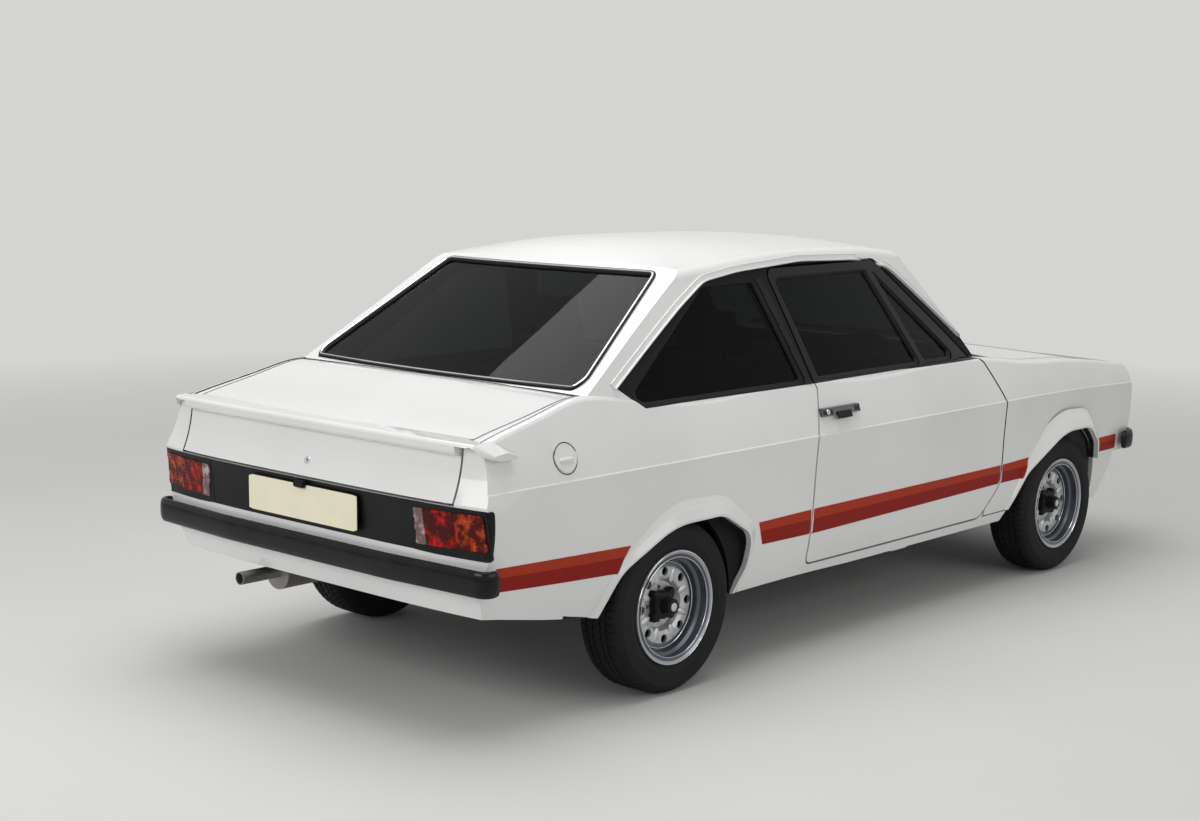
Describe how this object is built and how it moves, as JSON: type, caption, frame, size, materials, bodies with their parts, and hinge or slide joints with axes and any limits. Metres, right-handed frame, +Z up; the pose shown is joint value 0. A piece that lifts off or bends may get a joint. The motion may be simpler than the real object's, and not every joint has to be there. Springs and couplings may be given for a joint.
{
  "type": "two-door rally saloon car",
  "caption": "Two-door three-box sports saloon: opening doors, bonnet and boot lid, steered front wheels and free-turning road wheels.",
  "frame": {"origin": "on the ground, at the middle of the car's length and width", "axes": "+X forward, +Y to the car's left, +Z up"},
  "size_m": [3.9779, 1.5914, 1.3879],
  "materials": {
    "body_paint": "gloss white paint",
    "inner_paint": "satin inner body paint",
    "chassis_paint": "satin black paint and underseal",
    "glass": "clear window glass",
    "lamp_lens": "red and orange moulded lens",
    "front_lens": "clear fluted lens",
    "bumper_black": "satin black",
    "grille_black": "matt black",
    "bright": "polished",
    "wheel_silver": "silver wheel paint",
    "tyre_rubber": "black rubber",
    "iron": "bare cast iron",
    "alloy": "sand-cast alloy",
    "exhaust_steel": "dull steel",
    "seat_cloth": "black woven cloth",
    "dash_plastic": "black grained plastic"
  },
  "bodies": {
    "root": {"floor_pan": "inner_paint", "front_frame": "chassis_paint", "bulkhead_and_scuttle": "inner_paint", "roof_panel": "body_paint", "body_side_right": "body_paint", "body_side_left": "body_paint", "rear_bulkhead": "inner_paint", "rear_panel": "body_paint", "front_panel": "body_paint", "grille": "grille_black", "wing_right": "body_paint", "wing_left": "body_paint", "front_air_dam": "body_paint", "windscreen": "glass", "rear_screen": "glass", "quarter_windows": "glass", "front_bumpers": "bumper_black", "rear_bumper": "bumper_black", "tail_lamps": "lamp_lens", "front_lamps": "front_lens", "fuel_cap": "body_paint", "engine_block": "iron", "gearbox_and_propshaft": "alloy", "exhaust": "exhaust_steel", "rear_axle": "chassis_paint", "seats": "seat_cloth", "dashboard": "dash_plastic", "steering_wheel": "dash_plastic"},
    "door_right": {"door_right": "body_paint", "door_glass_right": "glass", "door_handle_right": "bright"},
    "door_left": {"door_left": "body_paint", "door_glass_left": "glass", "door_handle_left": "bright"},
    "bonnet": {"bonnet": "body_paint"},
    "boot_lid": {"boot_lid": "body_paint", "rear_spoiler": "body_paint"},
    "knuckle_right": {"knuckle_front_right": "iron"},
    "knuckle_left": {"knuckle_front_left": "iron"},
    "wheel_front_right": {"rim_front_right": "wheel_silver", "tyre_front_right": "tyre_rubber"},
    "wheel_front_left": {"rim_front_left": "wheel_silver", "tyre_front_left": "tyre_rubber"},
    "wheel_rear_right": {"rim_rear_right": "wheel_silver", "tyre_rear_right": "tyre_rubber"},
    "wheel_rear_left": {"rim_rear_left": "wheel_silver", "tyre_rear_left": "tyre_rubber"}
  },
  "joints": [
    {"name": "door_right_hinge", "type": "hinge", "parent": "root", "child": "door_right", "pos_m": [0.775, -0.745, 0.6], "axis": [0, 0, 1], "range_deg": [0, 65]},
    {"name": "door_left_hinge", "type": "hinge", "parent": "root", "child": "door_left", "pos_m": [0.775, 0.745, 0.6], "axis": [0, 0, -1], "range_deg": [0, 65]},
    {"name": "bonnet_hinge", "type": "hinge", "parent": "root", "child": "bonnet", "pos_m": [0.917, 0, 0.924], "axis": [0, -1, 0], "range_deg": [0, 60]},
    {"name": "boot_hinge", "type": "hinge", "parent": "root", "child": "boot_lid", "pos_m": [-1.475, 0, 0.977], "axis": [0, 1, 0], "range_deg": [0, 75]},
    {"name": "steer_right", "type": "hinge", "parent": "root", "child": "knuckle_right", "pos_m": [1.297, -0.59, 0.2], "axis": [0, 0.1676, 0.9859], "range_deg": [-32, 32]},
    {"name": "steer_left", "type": "hinge", "parent": "root", "child": "knuckle_left", "pos_m": [1.297, 0.59, 0.2], "axis": [0, -0.1676, 0.9859], "range_deg": [-32, 32]},
    {"name": "wheel_front_right_spin", "type": "hinge", "parent": "knuckle_right", "child": "wheel_front_right", "pos_m": [1.297, -0.664, 0.277], "axis": [0, 1, 0], "continuous": true},
    {"name": "wheel_front_left_spin", "type": "hinge", "parent": "knuckle_left", "child": "wheel_front_left", "pos_m": [1.297, 0.664, 0.277], "axis": [0, 1, 0], "continuous": true},
    {"name": "wheel_rear_right_spin", "type": "hinge", "parent": "root", "child": "wheel_rear_right", "pos_m": [-1.11, -0.675, 0.277], "axis": [0, 1, 0], "continuous": true},
    {"name": "wheel_rear_left_spin", "type": "hinge", "parent": "root", "child": "wheel_rear_left", "pos_m": [-1.11, 0.675, 0.277], "axis": [0, 1, 0], "continuous": true}
  ],
  "couplings": [
    {"joint": "steer_left", "follows": "steer_right", "ratio": 1}
  ]
}
